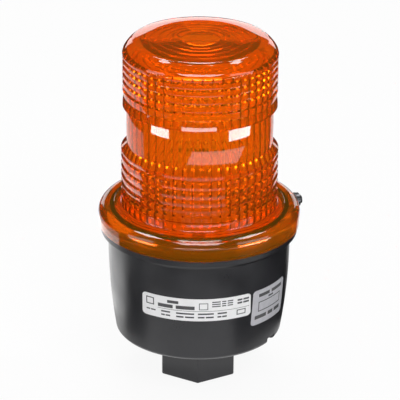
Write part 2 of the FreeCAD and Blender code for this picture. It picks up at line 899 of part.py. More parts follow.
def make_leads():
    low = holder_top - size("tube_seat")
    gap = size("tube_gap")
    radius = size("lead_radius")
    items = [cylinder(f"lead{index}", radius, low - board_top, x, ZERO, board_top)
             for index, x in enumerate((-gap, gap))]
    group("tube_leads", items)


# The trigger band goes round both legs of the tube, and its wire drops to the board
def make_trigger():
    gap = size("tube_gap")
    inner = size("tube_radius") + size("tube_fit")
    outer = inner + size("band_thick")
    body = doc.addObject("PartDesign::Body", "trigger_strip")
    level = holder_top + size("band_height")
    strip = sketch_on(body, "strip_outline", "XY_Plane", level)
    for reach in (outer, inner):
        outline(strip, [
            (gap, -reach, reach), (gap + reach, ZERO, reach), (gap, reach),
            (-gap, reach, reach), (-gap - reach, ZERO, reach), (-gap, -reach),
        ])
    pad(body, "strip_pad", strip, size("band_width"))
    length = level + size("band_width") - board_top
    wire = cylinder("trigger_lead", size("trigger_radius"), length, ZERO, trigger_y(), board_top)
    as_node(combine("fuse", "trigger_wire_fuse", body, [wire]), "trigger_wire")


# A turned can or bobbin standing on the board
def make_turned(label, x, y, points):
    body = new_body(label)
    profile = sketch_on(body, f"{label}_profile", "XZ_Plane")
    outline(profile, points)
    revolve(body, f"{label}_turned", profile)
    put(body, x, y, board_top)


def make_capacitor():
    radius = size("capacitor_radius")
    height = size("capacitor_height")
    crimp = size("capacitor_crimp")
    rise = size("crimp_rise")
    make_turned("storage_capacitor", size("capacitor_x"), size("capacitor_y"), [
        (ZERO, ZERO), (radius, ZERO), (radius, rise), (radius - crimp, rise + crimp),
        (radius, rise + crimp * 2), (radius, height - crimp), (radius - crimp, height), (ZERO, height),
    ])


def make_coil():
    radius = size("coil_radius")
    height = size("coil_height")
    flange = size("coil_flange")
    waist = radius - size("coil_waist")
    make_turned("trigger_coil", size("coil_x"), size("coil_y"), [
        (ZERO, ZERO), (radius, ZERO), (radius, flange), (waist, flange), (waist, height - flange),
        (radius, height - flange), (radius, height), (ZERO, height),
    ])


# Transformer: a ferrite core with two windows, and a winding round its middle leg
def make_transformer():
    x = size("core_x")
    y = size("core_y")
    depth = size("core_depth")
    play = size("winding_play")
    width = size("core_window")
    low = board_top + size("core_yoke")
    tall = size("core_height") - size("core_yoke") * 2
    core = block("core_block", size("core_length"), depth, size("core_height"), x, y, board_top)
    reach = (size("core_leg") + width) / 2
    windows = [block(f"core_window{index}", width, depth, tall, x + side, y, low)
               for index, side in enumerate((-reach, reach))]
    as_node(combine("cut", "core", core, windows), "transformer_core")
    turns_length = size("core_leg") + width * 2 - play * 2
    outer = block("winding_block", turns_length, size("winding_depth"), tall - play * 2, x, y, low + play)
    leg = block("winding_bore", size("core_leg") + play, depth + play, tall - play * 2, x, y, low + play)
    as_node(combine("cut", "winding", outer, [leg]), "transformer_winding")


# A finned sink stands on the board with the transistor against its plate
def make_sink():
    x = size("sink_x")
    y = size("sink_y")
    plate = size("sink_plate")
    height = size("sink_height")
    back = block("sink_plate_block", size("sink_length"), plate, height, x, y, board_top)
    step = (size("sink_length") - size("fin_thick")) / (count("sink_fins") - 1)
    start = x - (size("sink_length") - size("fin_thick")) / 2
    middle = y + (plate + size("fin_depth")) / 2
    fins = [block(f"sink_fin{index}", size("fin_thick"), size("fin_depth"), height,
                  start + step * index, middle, board_top)
            for index in range(count("sink_fins"))]
    as_node(combine("fuse", "sink", back, fins), "heat_sink")
    thick = size("transistor_thick")
    face = y - (plate + thick) / 2
    case = block("transistor_case", size("transistor_length"), thick, size("transistor_height"),
                 x, face, board_top)
    as_node(case, "switching_transistor")


def make_diodes():
    items = []
    radius = size("diode_radius")
    for index in range(2):
        y = size("diode_y") + size("diode_pitch") * index
        item = cylinder(f"diode{index}", radius, size("diode_length"))
        item.Placement = FreeCAD.Placement(
            FreeCAD.Vector(), FreeCAD.Rotation(FreeCAD.Vector(0, 1, 0), 90))
        put(item, size("diode_x") - size("diode_length") / 2, y, board_top + radius)
        items.append(item)
    group("rectifier_diodes", items)


def make_chip():
    chip = block("chip_block", size("chip_length"), size("chip_width"), size("chip_height"),
                 ZERO, size("chip_y"), board_top)
    as_node(chip, "control_chip")


# Terminal block: two wire entries in its outer face, and a screw sunk in the top over each
def make_terminals():
    y = size("terminal_y")
    depth = size("terminal_depth")
    height = size("terminal_height")
    recess = size("terminal_recess")
    half = size("terminal_pitch") / 2
    entry = size("terminal_entry")
    top = board_top + height
    case = block("terminal_case", size("terminal_length"), depth, height, ZERO, y, board_top)
    cuts = []
    screws = []
    for index, x in enumerate((-half, half)):
        cuts.append(block(f"terminal_entry{index}", entry, depth / 2, entry,
                          x, y + depth / 4, board_top + entry / 2))
        cuts.append(cylinder(f"terminal_well{index}", size("terminal_screw") / 2 + size("stud_fit"),
                             recess, x, y, top - recess))
        screws.append(cylinder(f"terminal_screw{index}", size("terminal_screw") / 2,
                               size("terminal_screw_thick"), x, y, top - recess))
    as_node(combine("cut", "terminal", case, cuts), "terminal_block")
    group("terminal_screws", screws)


def make_small_cans():
    fuse = cylinder("fuse_can", size("fuse_radius"), size("fuse_height"),
                    size("fuse_x"), size("fuse_y"), board_top)
    as_node(fuse, "line_fuse")
    items = [cylinder(f"timing_can{index}", size("timing_radius"), size("timing_height"),
                      size("timing_x") + size("timing_pitch") * index, size("timing_y"), board_top)
             for index in range(2)]
    group("timing_capacitors", items)


make_housing()
make_dome()
make_gasket()
make_lock()
make_labels()
make_board()
make_spacers()
make_deck()
make_deck_screws()
make_holder()
make_tube()
make_leads()
make_trigger()
make_capacitor()
make_coil()
make_transformer()
make_sink()
make_diodes()
make_chip()
make_terminals()
make_small_cans()
doc.recompute()

failed = [item.Label for item in doc.Objects if "Invalid" in item.State or "Error" in item.State]
if failed:
    raise RuntimeError("failed features: " + ", ".join(failed))
for node in nodes:
    if node.Shape.isNull() or not node.Shape.isValid() or not node.Shape.Solids:
        raise RuntimeError(f"{node.Label} has no valid solid")

os.makedirs("parts", exist_ok=True)
for node in nodes:
    node.Shape.exportStep(f"parts/{node.Label}.step")
    print(node.Label, len(node.Shape.Solids), round(node.Shape.Volume, 1))
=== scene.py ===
import json
import math

import bmesh
import bpy
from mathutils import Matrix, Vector


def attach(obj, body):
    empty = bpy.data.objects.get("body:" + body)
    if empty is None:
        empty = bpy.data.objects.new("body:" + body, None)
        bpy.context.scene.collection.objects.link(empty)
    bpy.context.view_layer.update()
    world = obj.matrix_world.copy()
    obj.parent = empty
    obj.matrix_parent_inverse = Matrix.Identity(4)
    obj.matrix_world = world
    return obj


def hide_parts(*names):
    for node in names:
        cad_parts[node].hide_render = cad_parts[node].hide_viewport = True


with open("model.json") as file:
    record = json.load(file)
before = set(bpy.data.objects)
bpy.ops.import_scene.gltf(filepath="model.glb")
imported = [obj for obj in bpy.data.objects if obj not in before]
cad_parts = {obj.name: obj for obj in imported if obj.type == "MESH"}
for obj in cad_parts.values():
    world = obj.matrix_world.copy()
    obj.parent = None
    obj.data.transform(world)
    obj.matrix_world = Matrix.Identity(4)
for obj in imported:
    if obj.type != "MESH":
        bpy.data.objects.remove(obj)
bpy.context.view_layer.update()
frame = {"nodes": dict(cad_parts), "record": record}

MM = 0.001
TURN = 2.0 * math.pi
SHARP_EDGE = 32.0

# The dome: sizes in millimetres, LOCK_ANGLE in degrees
FLANGE_RADIUS = 42.25
FLANGE_ROUND = 3.9
FLANGE_TOP = 77.5
FLANGE_LOW = 73.4
FLANGE_DRAFT = 0.35
SKIRT_LOW = 68.2
SKIRT_BORE = 39.0
SKIRT_EDGE = 0.3
STEP_RADIUS = 35.75
STEP_WIDTH = 0.2
LENS_LOW = 77.7
LENS_RADIUS = 32.65
LENS_FOOT = 0.5
LENS_FOOT_SAG = 0.3
RIBS_LOW = 81.2
CLEAR_LOW = 104.4
CLEAR_TOP = 121.2
CLEAR_RADIUS = 30.2
CLEAR_BULGE = 0.25
UPPER_RADIUS = 32.0
RIBS_TOP = 144.1
TOP_RIM = 149.0
TOP_RADIUS = 28.05
TOP_EDGE = 0.35
TOP_EDGE_BULGE = 0.05
SHOULDER_BULGE = 0.3
CROWN_TOP = 150.3
CROWN_FLAT = 19.0
CEILING = 147.7
BORE_RADIUS = 28.2
BORE_BEVEL = 4.4
GROOVE_TOP = 74.4
GROOVE_INNER = 35.45
GROOVE_OUTER = 37.75
LOWER_RIBS = 6
UPPER_RIBS = 7
RIB_TAPER = 0.65
RIB_DEPTH = 0.6
RIB_FLANK = 1.0
RIB_EDGE = 0.06
RIB_BULGE = 0.08
FIRST_RIB_LEAN = 0.35
FIRST_RIB_BULGE = 0.03
RIB_STEPS = 6
FLUTES = 45
FLUTE_STEPS = 8
FLUTE_DEPTH = 0.5
FLUTE_RISE = 1.2
CEILING_RINGS = 5
RING_START = 8.0
RING_DEPTH = 0.4
RING_RIDGE = 0.8
LOCK_ANGLE = 20.0
LOCK_Z = 71.7
LOCK_HOLE = 1.55
LOCK_HOLE_STEPS = 24
DRILL_SPARE = 2.0

# The housing's wall in millimetres, an arc whose widest point is at WALL_CROWN, and the labels on it
WALL_RADIUS = 38.2
WALL_SWEEP = 240.0
WALL_CROWN = 60.0
LABEL_FACE = 0.19
INK_RISE = 0.02
INK_STEP = 1.5
FRONT_LABEL_ANGLE = -91.4
SIDE_LABEL_ANGLE = -37.7

# Threads: millimetres, with starts in degrees and half widths of the ridge at its foot and crest
NECK_RADIUS = 37.6
NECK_PITCH = 4.0
NECK_THREAD_TIP = 38.6
NECK_THREAD_LOW = 69.4
NECK_THREAD_TURNS = 0.6
NECK_THREAD_START = 100.0
SKIRT_THREAD_TIP = 38.0
SKIRT_THREAD_LOW = 70.7
SKIRT_THREAD_TURNS = 0.45
SKIRT_THREAD_START = 35.0
NECK_FOOT = 0.75
NECK_CREST = 0.3
NECK_STEPS = 120
PIPE_RADIUS = 10.6
PIPE_PITCH = 1.814
PIPE_THREAD_TIP = 9.5
PIPE_THREAD_LOW = 1.2
PIPE_THREAD_TURNS = 8.5
PIPE_FOOT = 0.85
PIPE_CREST = 0.12
PIPE_STEPS = 48
THREAD_SINK = 0.05
THREAD_FADE = 8.0
THREAD_END = 0.05

# The camera, in metres, degrees and millimetres of lens
CAMERA_TARGET = (0.0003, 0.0, 0.0776)
CAMERA_DISTANCE = 1.005
CAMERA_ELEVATION = 23.65
CAMERA_ROLL = 0.49
CAMERA_LENS = 216.0

# The stage's light. A card is seen in reflections, through the dome or in both.
AMBIENT = 0.45
FLOOR_GLOW = 0.92
DARK = 0.02
GREY = 0.4
IN_GLOSS = (True, False)
IN_GLASS = (False, True)
IN_BOTH = (True, True)

# Spans of azimuth and elevation in degrees. Azimuth 0 is towards the camera and grows to the right.
ALL_ROUND = (-180.0, 180.0)
SKY_SPAN = (-2.5, 90.0)
FRONT_SIDE = (-94.0, 140.0)
BACK_SIDE = (140.0, 266.0)

# The room and the sweep behind the light: spans, and distances in metres from SKY_CENTRE
SKY_CENTRE = 0.11
ROOM_DISTANCE = 2.4
ROOM_STEPS = 48
ROOM_GLASS_DISTANCE = 2.3
ROOM_GLASS_STEPS = 40
SWEEP_SPAN = (152.0, 208.0)
SWEEP_RISE = (-2.0, 17.5)
SWEEP_DISTANCE = 2.2
SWEEP_STEPS = 12
SWEEP_GLOW = 2.0

# Cards just over the floor: inner and outer radius in metres
TABLE_DARK_BAND = (0.06, 2.5)
TABLE_FAR_BAND = (0.33, 2.5)
TABLE_LIFT = 0.0006
TABLE_GLASS_BAND = (0.05, 0.27)
TABLE_GLASS_SPAN = (110.0, 250.0)
TABLE_GLASS_LIFT = 0.0009
TABLE_GLASS_GLOW = 0.65
TABLE_STEPS = 24
FILL_LEFT_BAND = (0.07, 0.17)
FILL_LEFT_SPAN = (-165.0, -94.0)
FILL_LEFT_GLOW = 2.2
FILL_NEAR_BAND = (0.05, 0.13)
FILL_NEAR_SPAN = (-58.0, 38.0)
FILL_NEAR_GLOW = 1.1
FILL_HEX_BAND = (0.024, 0.05)
FILL_HEX_SPAN = (-75.0, 75.0)
FILL_HEX_GLOW = 1.35
FILL_FRONT_INNER = (0.226, -19.5, 58.5)
FILL_FRONT_OUTER = (0.29, -11.0, 71.0)
FILL_FRONT_GLOW = 2.6
FILL_LIFT = 0.0012
FILL_STEPS = 16

# Soft boxes: side, azimuths and elevations, and their glints through the dome
SIDE_BOXES = (("left", (-77.0, -46.0), (-16.7, -13.4)), ("right", (43.0, 80.0), (-17.4, -13.4)))
BOX_DISTANCE = 0.31
BOX_STEPS = 6
BOX_GLOW = 18.0
GLINT_GLOW = 70.0
GLINT_TABLE_BAND = (0.14, 0.19)
GLINT_TABLE_LIFT = 0.0014
GLINT_TABLE_STEPS = 8
GLINT_TABLE_GLOW = 40.0
BOX_FRONT_SPAN = (-25.0, 23.0)
BOX_FRONT_RISE = (-12.5, -8.0)
BOX_FRONT_GLOW = 10.0

# Strips that the flange's edge mirrors: corners in metres
STRIP_LEFT = (((-0.247, -0.222, 0.135), (-0.327, -0.062, 0.055)),
              ((-0.224, -0.174, 0.246), (-0.317, -0.051, 0.158)))
STRIP_RIGHT = (((0.211, -0.25, 0.16), (0.324, -0.078, 0.065)),
               ((0.189, -0.196, 0.262), (0.311, -0.063, 0.169)))
STRIP_SIDE_GLOW = 3.0
STRIP_FRONT_GLOW = 10.0

# Panes overhead: name, left, right and near edge in metres
PANES = (("pane_left", -0.7, -0.38, -0.05),
         ("pane_front", -0.2, 0.2, -0.2),
         ("pane_right", 0.38, 0.7, -0.05))
PANE_FAR = 0.5
PANE_HEIGHT = 1.1
PANE_GLOW = 12.0


# Meshes

def link_to_scene(obj):
    bpy.context.scene.collection.objects.link(obj)
    return obj


def add_piece(name, mesh, body, material, replaced=()):
    """A mesh as a piece of the light, riding a body."""
    piece = link_to_scene(bpy.data.objects.new(name, mesh))
    mesh.materials.append(material)
    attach(piece, body)
    if replaced:
        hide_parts(*replaced)
    return piece


def to_mesh(work, name):
    """A smooth-shaded mesh whose edges stay sharp where faces meet at more than SHARP_EDGE degrees."""
    bmesh.ops.recalc_face_normals(work, faces=work.faces)
    limit = math.radians(SHARP_EDGE)
    for face in work.faces:
        face.smooth = True
    for edge in work.edges:
        if len(edge.link_faces) == 2 and edge.calc_face_angle() > limit:
            edge.smooth = False
    mesh = bpy.data.meshes.new(name)
    work.to_mesh(mesh)
    work.free()
    return mesh


def arc(first, last, bulge, steps):
    """Points after the first up to the last on an arc whose middle stands off the chord by bulge."""
    (x0, y0), (x1, y1) = first, last
    chord = math.hypot(x1 - x0, y1 - y0)
    radius = (chord * chord / 4.0 + bulge * bulge) / (2.0 * abs(bulge))
    half = math.asin(min(1.0, chord / 2.0 / radius))
    nx = (y0 - y1) / chord
    ny = (x1 - x0) / chord
    points = []
    for index in range(1, steps + 1):
        angle = half * (2.0 * index / steps - 1.0)
        along = 0.5 + radius * math.sin(angle) / chord
        off = math.copysign(radius * (math.cos(angle) - math.cos(half)), bulge)
        points.append((x0 + (x1 - x0) * along + nx * off, y0 + (y1 - y0) * along + ny * off))
    return points


def tangent_arc(first, last, steps):
    """An arc from one point to another that leaves the first level."""
    run = abs(last[0] - first[0])
    fall = abs(last[1] - first[1])
    chord = math.hypot(run, fall)
    radius = chord * chord / (2.0 * fall)
    return arc(first, last, radius - math.sqrt(radius * radius - chord * chord / 4.0), steps)


def on_circle(radius, angle, z):
    """A point in metres from a radius, an angle in radians and a height in millimetres."""
    return (radius * MM * math.cos(angle), radius * MM * math.sin(angle), z * MM)


def bridge(work, first, second):
    """Faces between two closed rings of points, either of which may be one point."""
    count = max(len(first), len(second))
    for k in range(count):
        after = (k + 1) % count
        corners = [first[0]] if len(first) == 1 else [first[k], first[after]]
        corners += [second[0]] if len(second) == 1 else [second[after], second[k]]
        work.faces.new(corners)


def helix_ridge(name, root, tip, pitch, low, turns, start, foot, crest, per_turn):
    """A thread's ridge of trapezoid section, with tapered ends."""
    work = bmesh.new()
    steps = round(per_turn * turns)
    rings = []
    for k in range(steps + 1):
        share = k / steps
        angle = math.radians(start) + TURN * turns * share
        z = low + pitch * turns * share
        fade = min(1.0, THREAD_FADE * share, THREAD_FADE * (1.0 - share))
        reach = root + (tip - root) * max(fade, THREAD_END)
        section = ((root, -foot), (reach, -crest), (reach, crest), (root, foot))
        rings.append([work.verts.new(on_circle(r, angle, z + off)) for r, off in section])
    for first, second in zip(rings, rings[1:]):
        bridge(work, first, second)
    work.faces.new(rings[0])
    work.faces.new(rings[-1])
    return to_mesh(work, name)


# The dome

def rib_share(index, ribs):
    """Where rib valley index lies in its band, as a share from the clear side."""
    lost = (1.0 - RIB_TAPER) * index * (index - 1) / (2.0 * (ribs - 1))
    whole = (1.0 + RIB_TAPER) * ribs / 2.0
    return (index - lost) / whole


def outside_of_dome():
    """The dome's outer profile from the crown's centre down to the skirt's rim."""
    points = [(0.0, CROWN_TOP), (CROWN_FLAT / 2, CROWN_TOP), (CROWN_FLAT, CROWN_TOP)]
    points += tangent_arc(points[-1], (TOP_RADIUS - TOP_EDGE, TOP_RIM + TOP_EDGE / 3), 10)
    points += arc(points[-1], (TOP_RADIUS + TOP_EDGE * 0.7, TOP_RIM - TOP_EDGE * 0.8), TOP_EDGE_BULGE, 4)
    points += arc(points[-1], (UPPER_RADIUS - RIB_DEPTH / 2, RIBS_TOP + RIB_DEPTH), SHOULDER_BULGE, 8)
    for index in range(UPPER_RIBS - 1, 0, -1):
        high = CLEAR_TOP + (RIBS_TOP - CLEAR_TOP) * rib_share(index + 1, UPPER_RIBS)
        low = CLEAR_TOP + (RIBS_TOP - CLEAR_TOP) * rib_share(index, UPPER_RIBS)
        points.append((UPPER_RADIUS, high - RIB_DEPTH * RIB_FLANK))
        points += arc(points[-1], (UPPER_RADIUS - RIB_DEPTH, low), RIB_BULGE, RIB_STEPS)
    lean = FIRST_RIB_LEAN
    points.append((UPPER_RADIUS - lean, points[-1][1] - (RIB_DEPTH - lean) * RIB_FLANK))
    points += arc(points[-1], (UPPER_RADIUS, CLEAR_TOP + RIB_EDGE), FIRST_RIB_BULGE, RIB_STEPS)
    points += [(UPPER_RADIUS - RIB_EDGE, CLEAR_TOP), (CLEAR_RADIUS, CLEAR_TOP)]
    points += arc(points[-1], (CLEAR_RADIUS, CLEAR_LOW), CLEAR_BULGE, 12)
    for index in range(LOWER_RIBS):
        high = CLEAR_LOW - (CLEAR_LOW - RIBS_LOW) * rib_share(index, LOWER_RIBS)
        low = CLEAR_LOW - (CLEAR_LOW - RIBS_LOW) * rib_share(index + 1, LOWER_RIBS)
        rise = LENS_RADIUS - points[-1][0]
        points.append((LENS_RADIUS, high - rise * RIB_FLANK))
        points += arc(points[-1], (LENS_RADIUS - RIB_DEPTH, low), RIB_BULGE, RIB_STEPS)
    points.append((LENS_RADIUS, RIBS_LOW))
    points.append((LENS_RADIUS, LENS_LOW + LENS_FOOT))
    points += arc(points[-1], (LENS_RADIUS + LENS_FOOT, LENS_LOW), -LENS_FOOT * LENS_FOOT_SAG, 4)
    points.append((STEP_RADIUS - STEP_WIDTH, LENS_LOW))
    points.append((STEP_RADIUS, FLANGE_TOP))
    points.append((FLANGE_RADIUS - FLANGE_ROUND, FLANGE_TOP))
    points += tangent_arc(points[-1], (FLANGE_RADIUS, FLANGE_TOP - FLANGE_ROUND), 12)
    rim = FLANGE_RADIUS - FLANGE_DRAFT
    points += [(rim, SKIRT_LOW + SKIRT_EDGE), (rim - SKIRT_EDGE, SKIRT_LOW)]
    return points


def inside_of_dome():
    """Rows (radius, z, land) from the skirt's rim to the ceiling's centre. Rows with a land are fluted."""
    ring_low = CEILING - RING_DEPTH * CEILING_RINGS
    bevel_low = ring_low - BORE_BEVEL
    flute_end = BORE_RADIUS - FLUTE_RISE
    rows = [
        (SKIRT_BORE, SKIRT_LOW, None), (SKIRT_BORE, FLANGE_LOW, None),
        (GROOVE_OUTER, FLANGE_LOW, None), (GROOVE_OUTER, GROOVE_TOP, None),
        (GROOVE_INNER, GROOVE_TOP, None), (GROOVE_INNER, FLANGE_LOW, None),
        (BORE_RADIUS, FLANGE_LOW, BORE_RADIUS), (BORE_RADIUS, bevel_low, BORE_RADIUS),
        (BORE_RADIUS, bevel_low + FLUTE_RISE, flute_end), (flute_end, bevel_low + FLUTE_RISE, None),
        (BORE_RADIUS - BORE_BEVEL, ring_low, None),
    ]
    pitch = (BORE_RADIUS - BORE_BEVEL - RING_START) / CEILING_RINGS
    for index in range(CEILING_RINGS - 1, -1, -1):
        radius = RING_START + pitch * index
        rows.append((radius, CEILING - RING_DEPTH * index - RING_RIDGE, None))
        rows.append((radius, CEILING - RING_DEPTH * index, None))
    rows.append((0.0, CEILING, None))
    return rows


def flute_reach(segment):
    """How far the bore's flutes reach outwards at a segment round the dome."""
    across = 2.0 * (segment % FLUTE_STEPS) / FLUTE_STEPS - 1.0
    return FLUTE_DEPTH * (1.0 - across * across)


def dome_ring(work, radius, z, land):
    """One ring of points, fluted between lands of their own radius if one is given."""
    if radius == 0.0:
        return [work.verts.new((0.0, 0.0, z * MM))]
    segments = FLUTES * FLUTE_STEPS
    ring = []
    for k in range(segments):
        reach = radius
        if land is not None:
            reach = radius + flute_reach(k) if k % FLUTE_STEPS else land
        ring.append(work.verts.new(on_circle(reach, TURN * k / segments, z)))
    return ring


def dome_mesh():
    work = bmesh.new()
    rows = [(radius, z, None) for radius, z in outside_of_dome()] + inside_of_dome()
    rings = [dome_ring(work, *row) for row in rows]
    for first, second in zip(rings, rings[1:]):
        bridge(work, first, second)
    return to_mesh(work, "dome_lens")


def drill_lock_hole(piece):
    """Cuts the lock screw's hole through the skirt."""
    work = bmesh.new()
    turn = math.radians(LOCK_ANGLE)
    out = Vector((math.cos(turn), math.sin(turn), 0.0))
    side = Vector((-math.sin(turn), math.cos(turn), 0.0))
    rings = []
    for reach in (SKIRT_BORE - DRILL_SPARE, FLANGE_RADIUS + DRILL_SPARE):
        middle = out * reach * MM + Vector((0.0, 0.0, LOCK_Z * MM))
        ring = []
        for k in range(LOCK_HOLE_STEPS):
            angle = TURN * k / LOCK_HOLE_STEPS
            spoke = side * math.cos(angle) + Vector((0.0, 0.0, math.sin(angle)))
            ring.append(work.verts.new(middle + spoke * LOCK_HOLE * MM))
        rings.append(ring)
    bridge(work, rings[0], rings[1])
    work.faces.new(rings[0])
    work.faces.new(rings[1])
    drill = link_to_scene(bpy.data.objects.new("lock_drill", to_mesh(work, "lock_drill")))
    cut = piece.modifiers.new("lock_hole", "BOOLEAN")
    cut.operation = "DIFFERENCE"
    cut.solver = "EXACT"
    cut.object = drill
    shape = bpy.data.meshes.new_from_object(piece.evaluated_get(bpy.context.evaluated_depsgraph_get()))
    piece.modifiers.clear()
    piece.data = shape
    bpy.data.objects.remove(drill)


# Print on the labels: rules, bars and frames, with no lettering. Places are millimetres along the wall
# from the label's middle, left to right, and heights, low to high.

def wall_at(z):
    """The housing's radius at a height."""
    fall = WALL_CROWN - z
    return WALL_RADIUS - WALL_SWEEP + math.sqrt(WALL_SWEEP * WALL_SWEEP - fall * fall)


def ink_bar(work, angle, left, right, low, high):
    """A closed strip on a label."""
    steps = max(1, round((right - left) / INK_STEP))
    rings = []
    for k in range(steps + 1):
        along = left + (right - left) * k / steps
        turn = math.radians(angle) + along / WALL_RADIUS
        section = ((0.0, low), (INK_RISE, low), (INK_RISE, high), (0.0, high))
        rings.append([work.verts.new(on_circle(wall_at(z) + LABEL_FACE + rise, turn, z))
                      for rise, z in section])
    for first, second in zip(rings, rings[1:]):
        bridge(work, first, second)
    work.faces.new(rings[0])
    work.faces.new(rings[-1])


def ink_words(work, angle, left, right, low, high, words):
    """A row of bars of uneven length, as words look from afar."""
    lengths = [3 + (5 * k + words) % 4 for k in range(words)]
    unit = (right - left) / (sum(lengths) + words - 1)
    for length in lengths:
        ink_bar(work, angle, left, left + unit * length, low, high)
        left += unit * (length + 1)


def ink_frame(work, angle, left, right, low, high, line):
    ink_bar(work, angle, left, right, low, low + line)
    ink_bar(work, angle, left, right, high - line, high)
    ink_bar(work, angle, left, left + line, low + line, high - line)
    ink_bar(work, angle, right - line, right, low + line, high - line)


def front_print():
    work = bmesh.new()
    turn = FRONT_LABEL_ANGLE
    ink_bar(work, turn, -16.6, 23.4, 44.15, 44.32)
    ink_frame(work, turn, -22.0, -18.2, 45.0, 48.4, 0.45)
    ink_words(work, turn, -22.0, -17.6, 42.4, 43.0, 2)
    ink_words(work, turn, -12.2, -7.4, 47.2, 48.5, 1)
    ink_words(work, turn, -16.4, -0.6, 44.9, 46.5, 2)
    ink_frame(work, turn, 1.2, 5.0, 44.9, 48.0, 0.3)
    for low in (48.1, 47.1, 46.1):
        ink_words(work, turn, 6.6, 15.6, low, low + 0.5, 3)
    for low in (47.6, 46.2):
        ink_words(work, turn, 17.6, 23.0, low, low + 0.8, 2)
    for left, right in ((-15.0, -11.0), (-8.4, -0.8), (0.8, 7.4), (9.0, 13.0)):
        ink_words(work, turn, left, right, 42.6, 43.3, 1)
        ink_words(work, turn, left, right, 41.0, 41.7, 2)
    ink_frame(work, turn, 17.4, 21.6, 41.1, 43.5, 0.4)
    return to_mesh(work, "front_print")


def side_print():
    work = bmesh.new()
    turn = SIDE_LABEL_ANGLE
    ink_words(work, turn, -7.4, 8.2, 46.4, 47.9, 2)
    ink_words(work, turn, -1.6, 1.6, 44.9, 45.7, 1)
    ink_frame(work, turn, -7.4, 7.4, 39.6, 44.2, 0.4)
    ink_words(work, turn, -9.0, 8.0, 36.2, 37.9, 3)
    return to_mesh(work, "side_print")


# Materials

AMBER = (0.93, 0.44, 0.01)
AMBER_CLEAR = 0.9
AMBER_IOR = 1.5
AMBER_DEPTH = (0.93, 0.36, 0.0)
AMBER_DENSITY = 220.0
NOISE_LOW = 0.3
NOISE_HIGH = 0.7
TOOL_MARKS = (1.0, 1.0, 12.0)


def new_material(name, colour, roughness, **sockets):
    material = bpy.data.materials.new(name)
    material.use_nodes = True
    shader = material.node_tree.nodes["Principled BSDF"]
    shader.inputs["Base Color"].default_value = (*colour, 1.0)
    shader.inputs["Roughness"].default_value = roughness
    for socket, value in sockets.items():
        shader.inputs[socket.replace("_", " ")].default_value = value
    return material


def noise_of(material, scale, detail=3.0, stretch=(1.0, 1.0, 1.0)):
    """A noise over the object's own coordinates, in features per metre."""
    tree = material.node_tree
    place = tree.nodes.new("ShaderNodeTexCoord")
    mapping = tree.nodes.new("ShaderNodeMapping")
    mapping.inputs["Scale"].default_value = stretch
    noise = tree.nodes.new("ShaderNodeTexNoise")
    noise.inputs["Scale"].default_value = scale
    noise.inputs["Detail"].default_value = detail
    tree.links.new(place.outputs["Object"], mapping.inputs["Vector"])
    tree.links.new(mapping.outputs["Vector"], noise.inputs["Vector"])
    return noise


def add_bump(material, source, strength, height):
    tree = material.node_tree
    bump = tree.nodes.new("ShaderNodeBump")
    bump.inputs["Strength"].default_value = strength
    bump.inputs["Distance"].default_value = height
    tree.links.new(source, bump.inputs["Height"])
    tree.links.new(bump.outputs["Normal"], tree.nodes["Principled BSDF"].inputs["Normal"])


def vary_roughness(material, noise, low, high):
    tree = material.node_tree
    spread = tree.nodes.new("ShaderNodeMapRange")
    spread.inputs["From Min"].default_value = NOISE_LOW
    spread.inputs["From Max"].default_value = NOISE_HIGH
    spread.inputs["To Min"].default_value = low
    spread.inputs["To Max"].default_value = high
    tree.links.new(noise.outputs["Fac"], spread.inputs["Value"])
    tree.links.new(spread.outputs["Result"], tree.nodes["Principled BSDF"].inputs["Roughness"])


def vary_colour(material, noise, dark, light):
    tree = material.node_tree
    ramp = tree.nodes.new("ShaderNodeValToRGB")
    ramp.color_ramp.elements[0].position = NOISE_LOW
    ramp.color_ramp.elements[0].color = (*dark, 1.0)
    ramp.color_ramp.elements[1].position = NOISE_HIGH
    ramp.color_ramp.elements[1].color = (*light, 1.0)
    tree.links.new(noise.outputs["Fac"], ramp.inputs["Fac"])
    tree.links.new(ramp.outputs["Color"], tree.nodes["Principled BSDF"].inputs["Base Color"])


def moulded(name, dark, light, roughness, grain=2500.0, bump=0.12):
    """Moulded plastic: a fine grain, slightly cloudy colour and uneven gloss."""
    material = new_material(name, light, roughness)
    cloud = noise_of(material, 60.0)
    vary_colour(material, cloud, dark, light)
    vary_roughness(material, cloud, roughness - 0.05, roughness + 0.06)
    add_bump(material, noise_of(material, grain).outputs["Fac"], bump, 0.00008)
    return material


def worked_metal(name, dark, light, roughness):
    """Metal with tool marks in one direction."""
    material = new_material(name, light, roughness, Metallic=1.0)
    marks = noise_of(material, 900.0, 2.0, TOOL_MARKS)
    vary_colour(material, marks, dark, light)
    vary_roughness(material, marks, roughness - 0.06, roughness + 0.08)
    add_bump(material, marks.outputs["Fac"], 0.08, 0.00005)
    return material


def amber_plastic():
    """Clear amber plastic that darkens and reddens with depth."""
    material = new_material("amber_lens", AMBER, 0.015, Transmission_Weight=AMBER_CLEAR,
                            IOR=AMBER_IOR)
    vary_roughness(material, noise_of(material, 90.0), 0.0, 0.03)
    tree = material.node_tree
    depth = tree.nodes.new("ShaderNodeVolumeAbsorption")
    depth.inputs["Color"].default_value = (*AMBER_DEPTH, 1.0)
    depth.inputs["Density"].default_value = AMBER_DENSITY
    tree.links.new(depth.outputs["Volume"], tree.nodes["Material Output"].inputs["Volume"])
    return material


def film(name, dark, light, roughness, metallic):
    material = new_material(name, light, roughness, Metallic=metallic)
    vary_colour(material, noise_of(material, 350.0), dark, light)
    add_bump(material, noise_of(material, 700.0).outputs["Fac"], 0.05, 0.00003)
    return material


